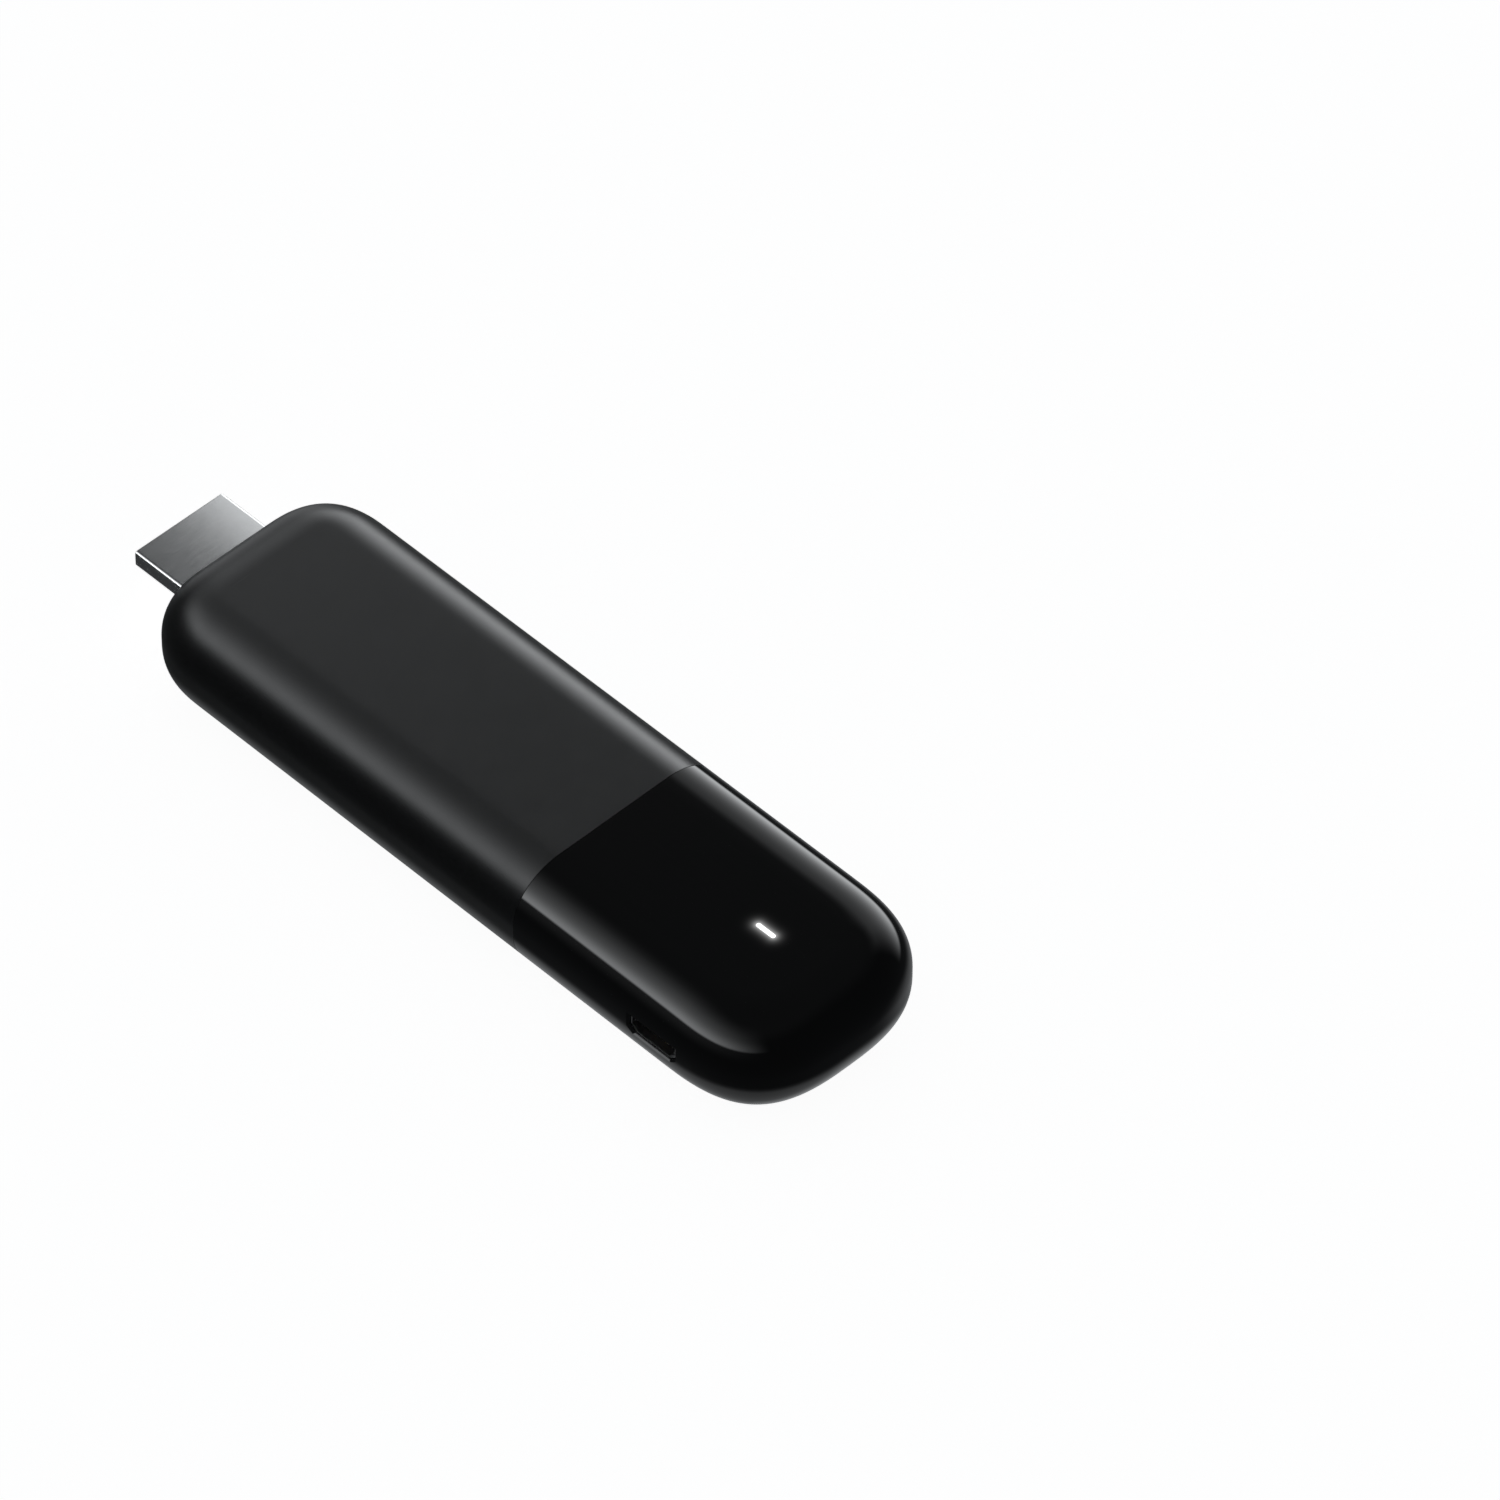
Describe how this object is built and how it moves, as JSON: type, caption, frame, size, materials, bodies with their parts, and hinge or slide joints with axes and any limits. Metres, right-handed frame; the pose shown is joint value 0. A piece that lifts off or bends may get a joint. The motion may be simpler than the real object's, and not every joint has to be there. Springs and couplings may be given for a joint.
{
  "type": "streaming media player",
  "caption": "Slim stick player with a plug at one end: matte sleeve, glossy rounded cap with status light and side power socket, board and shields inside.",
  "frame": {"origin": "centre of the whole object's footprint, on its flat back face", "axes": "+X from the plug's tip to the rounded cap, +Y to the side opposite the power socket, +Z out of the front face with the status light"},
  "size_m": [0.112, 0.0316, 0.015],
  "materials": {
    "matte_shell": "fine moulded texture, satin-matte charcoal",
    "gloss_shell": "polished piano black",
    "light_guide": "frosted clear, lit white from behind",
    "foam": "closed-cell foam",
    "led": "resin-filled lamp package",
    "inner_plastic": "plain moulded",
    "circuit_board": "green solder mask, satin",
    "plug_metal": "nickel-plated, satin",
    "insulator": "glass-filled moulding, satin",
    "contact_metal": "gold-plated",
    "chip_package": "moulded epoxy",
    "inductor_core": "ferrite",
    "capacitor_body": "fired ceramic with tinned ends",
    "resistor_body": "coated ceramic with tinned ends",
    "shield_metal": "tin-plated sheet",
    "thermal_pad": "soft silicone pad",
    "spreader_metal": "satin aluminium",
    "aerial_metal": "stamped, tin-plated"
  },
  "bodies": {
    "root": {"main_sleeve": "matte_shell", "end_cap": "gloss_shell", "indicator_light_pipe": "light_guide", "indicator_light_seal": "foam", "status_led": "led", "board_frame": "inner_plastic", "main_board": "circuit_board", "video_plug_shell": "plug_metal", "video_plug_insulator": "insulator", "video_plug_contacts": "contact_metal", "power_socket_shell": "plug_metal", "power_socket_tongue": "insulator", "power_socket_contacts": "contact_metal", "processor": "chip_package", "memory_chips": "chip_package", "flash_memory": "chip_package", "power_chip": "chip_package", "radio_chip": "chip_package", "clock_crystal": "shield_metal", "power_inductors": "inductor_core", "chip_capacitors": "capacitor_body", "chip_resistors": "resistor_body", "front_shield_frame": "shield_metal", "front_shield_lid": "shield_metal", "rear_shield_can": "shield_metal", "radio_shield_can": "shield_metal", "processor_thermal_pad": "thermal_pad", "front_thermal_pad": "thermal_pad", "rear_thermal_pad": "thermal_pad", "front_heat_spreader": "spreader_metal", "rear_heat_spreader": "spreader_metal", "left_aerial": "aerial_metal", "right_aerial": "aerial_metal"}
  },
  "joints": []
}
